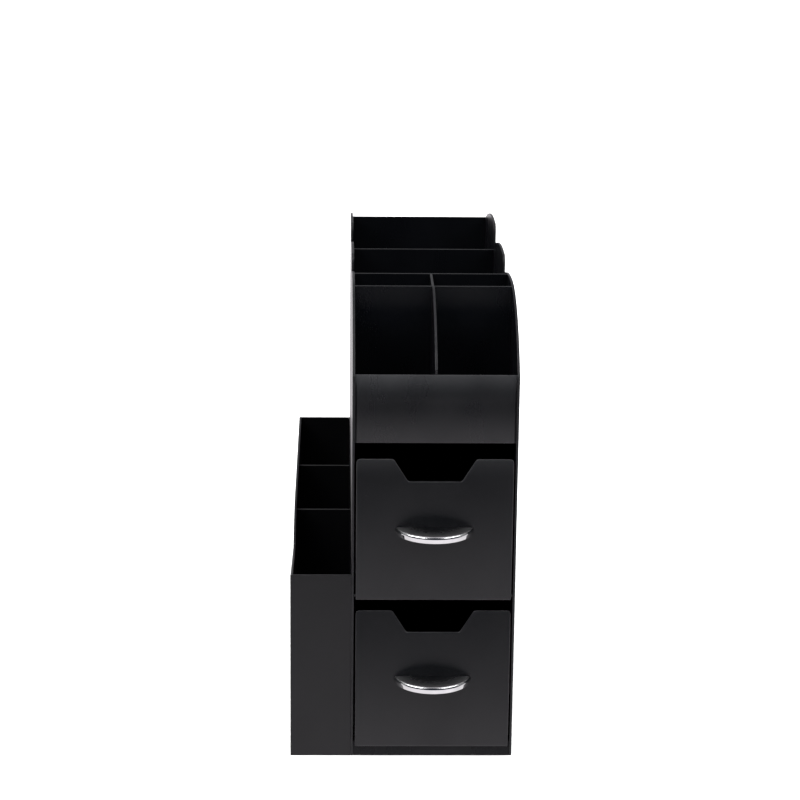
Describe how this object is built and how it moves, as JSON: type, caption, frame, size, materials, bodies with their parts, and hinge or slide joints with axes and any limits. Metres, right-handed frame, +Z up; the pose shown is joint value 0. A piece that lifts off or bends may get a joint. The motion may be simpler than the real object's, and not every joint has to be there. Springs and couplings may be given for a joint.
{
  "type": "condiment caddy",
  "caption": "Tall black plastic countertop caddy with sliding drawers that have half-moon handles, open wells on its wave-topped deck, and a narrow open bin along its left side.",
  "frame": {"origin": "on the surface the caddy stands on, midway between its two outer sides and midway between the handles' fronts and the back panel", "axes": "+Z up, the drawers open towards -Y, +X to the right as seen from the front, with the side bin at -X"},
  "size_m": [0.1344, 0.3698, 0.2784],
  "materials": {
    "cabinet_plastic": "moulded black plastic, glossy, with light handling haze",
    "bin_plastic": "moulded black plastic, glossy",
    "drawer_plastic": "moulded black plastic, glossy",
    "handle_chrome": "polished plating",
    "screw_steel": "zinc plated"
  },
  "bodies": {
    "cabinet": {"back_panel": "cabinet_plastic", "base_panel": "cabinet_plastic", "bin_back": "bin_plastic", "bin_floor": "bin_plastic", "bin_front": "bin_plastic", "bin_front_divider": "bin_plastic", "bin_outer_side": "bin_plastic", "bin_rear_divider": "bin_plastic", "cabinet_left_side": "cabinet_plastic", "cabinet_right_side": "cabinet_plastic", "cup_divider_wall": "cabinet_plastic", "cup_front_wall": "cabinet_plastic", "middle_shelf": "cabinet_plastic", "packet_bin_front": "cabinet_plastic", "packet_divider": "cabinet_plastic", "packet_partition": "cabinet_plastic", "stirrer_divider": "cabinet_plastic", "stirrer_rear_wall": "cabinet_plastic", "top_deck": "cabinet_plastic"},
    "upper_drawer": {"upper_drawer_front": "drawer_plastic", "upper_drawer_tray": "drawer_plastic", "upper_drawer_handle": "handle_chrome", "upper_handle_screws": "screw_steel"},
    "lower_drawer": {"lower_drawer_front": "drawer_plastic", "lower_drawer_tray": "drawer_plastic", "lower_drawer_handle": "handle_chrome", "lower_handle_screws": "screw_steel"}
  },
  "joints": [
    {"name": "upper_drawer_slide", "type": "slide", "parent": "cabinet", "child": "upper_drawer", "axis": [0, -1, 0], "range_m": [0, 0.24]},
    {"name": "lower_drawer_slide", "type": "slide", "parent": "cabinet", "child": "lower_drawer", "axis": [0, -1, 0], "range_m": [0, 0.24]}
  ]
}
